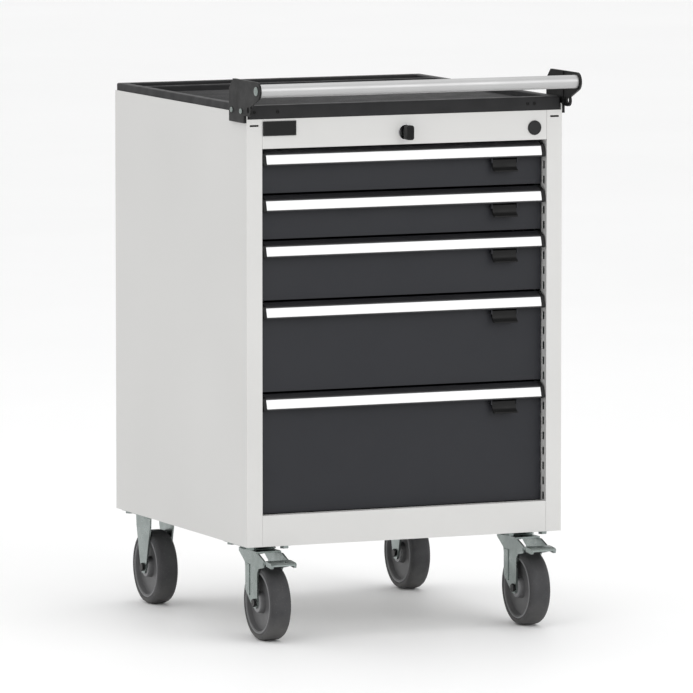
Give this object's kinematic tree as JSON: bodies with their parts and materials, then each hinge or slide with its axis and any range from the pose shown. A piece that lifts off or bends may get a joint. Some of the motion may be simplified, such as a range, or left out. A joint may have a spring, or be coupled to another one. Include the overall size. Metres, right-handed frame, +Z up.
{
  "type": "rolling tool chest",
  "caption": "Sheet-steel tool cabinet with sliding drawers, label handles, central lock, moulded top tray and push bar, on swivel and fixed casters with brakes.",
  "frame": {"origin": "on the floor, under the middle of the overall box", "axes": "+Z up, +X to the right of a person facing the drawers, -Y out of the drawer fronts"},
  "size_m": [0.579, 0.6474, 0.922],
  "materials": {
    "light_sheet": "light grey powder coat",
    "dark_sheet": "anthracite powder coat",
    "dark_plastic": "fine matt texture",
    "black_plastic": "satin black",
    "black_steel": "black oxide",
    "zinc": "bright zinc plated",
    "bar_alu": "satin anodised",
    "chrome": "polished",
    "rim_plastic": "moulded grey",
    "tread": "matt rubber"
  },
  "bodies": {
    "cabinet": {"left_side_panel": "light_sheet", "right_side_panel": "light_sheet", "lock_rail": "light_sheet", "back_panel": "light_sheet", "base_pan": "light_sheet", "top_tray": "dark_plastic", "slide_uprights": "zinc", "cabinet_rails": "zinc", "lock_body": "chrome", "nameplate": "black_plastic", "blanking_plug": "dark_plastic", "left_handle_bracket": "black_plastic", "right_handle_bracket": "black_plastic", "handle_bar": "bar_alu", "cover_screws": "zinc", "front_caster_plates": "zinc", "rear_caster_forks": "zinc", "rear_axles": "black_steel", "caster_bolts": "zinc"},
    "drawer_1": {"drawer_1_tray": "dark_sheet", "drawer_1_front": "dark_sheet", "drawer_1_handle": "dark_sheet"},
    "drawer_1_slides": {"drawer_1_mid_rails": "zinc"},
    "drawer_1_catch": {"drawer_1_latch": "black_plastic"},
    "drawer_2": {"drawer_2_tray": "dark_sheet", "drawer_2_front": "dark_sheet", "drawer_2_handle": "dark_sheet"},
    "drawer_2_slides": {"drawer_2_mid_rails": "zinc"},
    "drawer_2_catch": {"drawer_2_latch": "black_plastic"},
    "drawer_3": {"drawer_3_tray": "dark_sheet", "drawer_3_front": "dark_sheet", "drawer_3_handle": "dark_sheet"},
    "drawer_3_slides": {"drawer_3_mid_rails": "zinc"},
    "drawer_3_catch": {"drawer_3_latch": "black_plastic"},
    "drawer_4": {"drawer_4_tray": "dark_sheet", "drawer_4_front": "dark_sheet", "drawer_4_handle": "dark_sheet"},
    "drawer_4_slides": {"drawer_4_mid_rails": "zinc"},
    "drawer_4_catch": {"drawer_4_latch": "black_plastic"},
    "drawer_5": {"drawer_5_tray": "dark_sheet", "drawer_5_front": "dark_sheet", "drawer_5_handle": "dark_sheet"},
    "drawer_5_slides": {"drawer_5_mid_rails": "zinc"},
    "drawer_5_catch": {"drawer_5_latch": "black_plastic"},
    "key": {"lock_key": "black_plastic"},
    "locking_bar": {"lock_bar": "zinc"},
    "front_left_swivel": {"front_left_fork": "zinc", "front_left_axle": "black_steel"},
    "front_left_wheel": {"front_left_rim": "rim_plastic", "front_left_tread": "tread"},
    "rear_left_wheel": {"rear_left_rim": "rim_plastic", "rear_left_tread": "tread"},
    "front_left_brake": {"front_left_pedal": "zinc"},
    "front_right_swivel": {"front_right_fork": "zinc", "front_right_axle": "black_steel"},
    "front_right_wheel": {"front_right_rim": "rim_plastic", "front_right_tread": "tread"},
    "rear_right_wheel": {"rear_right_rim": "rim_plastic", "rear_right_tread": "tread"},
    "front_right_brake": {"front_right_pedal": "zinc"}
  },
  "joints": [
    {"name": "drawer_1_slide", "type": "slide", "parent": "cabinet", "child": "drawer_1", "axis": [0, -1, 0], "range_m": [0, 0.48]},
    {"name": "drawer_1_mid_slide", "type": "slide", "parent": "cabinet", "child": "drawer_1_slides", "axis": [0, -1, 0], "range_m": [0, 0.24]},
    {"name": "drawer_1_latch_pull", "type": "hinge", "parent": "drawer_1", "child": "drawer_1_catch", "pos_m": [0.182, -0.24525, 0.776], "axis": [-1, 0, 0], "range_deg": [0, 20], "stiffness_Nm_per_rad": 0.02},
    {"name": "drawer_2_slide", "type": "slide", "parent": "cabinet", "child": "drawer_2", "axis": [0, -1, 0], "range_m": [0, 0.48]},
    {"name": "drawer_2_mid_slide", "type": "slide", "parent": "cabinet", "child": "drawer_2_slides", "axis": [0, -1, 0], "range_m": [0, 0.24]},
    {"name": "drawer_2_latch_pull", "type": "hinge", "parent": "drawer_2", "child": "drawer_2_catch", "pos_m": [0.182, -0.24525, 0.701], "axis": [-1, 0, 0], "range_deg": [0, 20], "stiffness_Nm_per_rad": 0.02},
    {"name": "drawer_3_slide", "type": "slide", "parent": "cabinet", "child": "drawer_3", "axis": [0, -1, 0], "range_m": [0, 0.48]},
    {"name": "drawer_3_mid_slide", "type": "slide", "parent": "cabinet", "child": "drawer_3_slides", "axis": [0, -1, 0], "range_m": [0, 0.24]},
    {"name": "drawer_3_latch_pull", "type": "hinge", "parent": "drawer_3", "child": "drawer_3_catch", "pos_m": [0.182, -0.24525, 0.626], "axis": [-1, 0, 0], "range_deg": [0, 20], "stiffness_Nm_per_rad": 0.02},
    {"name": "drawer_4_slide", "type": "slide", "parent": "cabinet", "child": "drawer_4", "axis": [0, -1, 0], "range_m": [0, 0.48]},
    {"name": "drawer_4_mid_slide", "type": "slide", "parent": "cabinet", "child": "drawer_4_slides", "axis": [0, -1, 0], "range_m": [0, 0.24]},
    {"name": "drawer_4_latch_pull", "type": "hinge", "parent": "drawer_4", "child": "drawer_4_catch", "pos_m": [0.182, -0.24525, 0.526], "axis": [-1, 0, 0], "range_deg": [0, 20], "stiffness_Nm_per_rad": 0.02},
    {"name": "drawer_5_slide", "type": "slide", "parent": "cabinet", "child": "drawer_5", "axis": [0, -1, 0], "range_m": [0, 0.48]},
    {"name": "drawer_5_mid_slide", "type": "slide", "parent": "cabinet", "child": "drawer_5_slides", "axis": [0, -1, 0], "range_m": [0, 0.24]},
    {"name": "drawer_5_latch_pull", "type": "hinge", "parent": "drawer_5", "child": "drawer_5_catch", "pos_m": [0.182, -0.24525, 0.376], "axis": [-1, 0, 0], "range_deg": [0, 20], "stiffness_Nm_per_rad": 0.02},
    {"name": "key_turn", "type": "hinge", "parent": "cabinet", "child": "key", "pos_m": [0, -0.25675, 0.829], "axis": [0, 1, 0], "range_deg": [0, 90]},
    {"name": "locking_bar_shift", "type": "slide", "parent": "cabinet", "child": "locking_bar", "axis": [1, 0, 0], "range_m": [0, 0.01]},
    {"name": "front_left_swivel_turn", "type": "hinge", "parent": "cabinet", "child": "front_left_swivel", "pos_m": [-0.233, -0.18575, 0.15], "axis": [0, 0, 1], "continuous": true},
    {"name": "front_left_wheel_spin", "type": "hinge", "parent": "front_left_swivel", "child": "front_left_wheel", "pos_m": [-0.233, -0.22575, 0.0625], "axis": [1, 0, 0], "continuous": true},
    {"name": "rear_left_wheel_spin", "type": "hinge", "parent": "cabinet", "child": "rear_left_wheel", "pos_m": [-0.233, 0.26125, 0.0625], "axis": [1, 0, 0], "continuous": true},
    {"name": "front_left_brake_press", "type": "hinge", "parent": "front_left_swivel", "child": "front_left_brake", "pos_m": [-0.233, -0.26075, 0.13], "axis": [1, 0, 0], "range_deg": [0, 12], "stiffness_Nm_per_rad": 1},
    {"name": "front_right_swivel_turn", "type": "hinge", "parent": "cabinet", "child": "front_right_swivel", "pos_m": [0.233, -0.18575, 0.15], "axis": [0, 0, 1], "continuous": true},
    {"name": "front_right_wheel_spin", "type": "hinge", "parent": "front_right_swivel", "child": "front_right_wheel", "pos_m": [0.233, -0.22575, 0.0625], "axis": [1, 0, 0], "continuous": true},
    {"name": "rear_right_wheel_spin", "type": "hinge", "parent": "cabinet", "child": "rear_right_wheel", "pos_m": [0.233, 0.26125, 0.0625], "axis": [1, 0, 0], "continuous": true},
    {"name": "front_right_brake_press", "type": "hinge", "parent": "front_right_swivel", "child": "front_right_brake", "pos_m": [0.233, -0.26075, 0.13], "axis": [1, 0, 0], "range_deg": [0, 12], "stiffness_Nm_per_rad": 1}
  ],
  "couplings": [
    {"joint": "drawer_1_mid_slide", "follows": "drawer_1_slide", "ratio": 0.5},
    {"joint": "drawer_2_mid_slide", "follows": "drawer_2_slide", "ratio": 0.5},
    {"joint": "drawer_3_mid_slide", "follows": "drawer_3_slide", "ratio": 0.5},
    {"joint": "drawer_4_mid_slide", "follows": "drawer_4_slide", "ratio": 0.5},
    {"joint": "drawer_5_mid_slide", "follows": "drawer_5_slide", "ratio": 0.5},
    {"joint": "key_turn", "follows": "locking_bar_shift", "rad_per_m": 157.08}
  ]
}
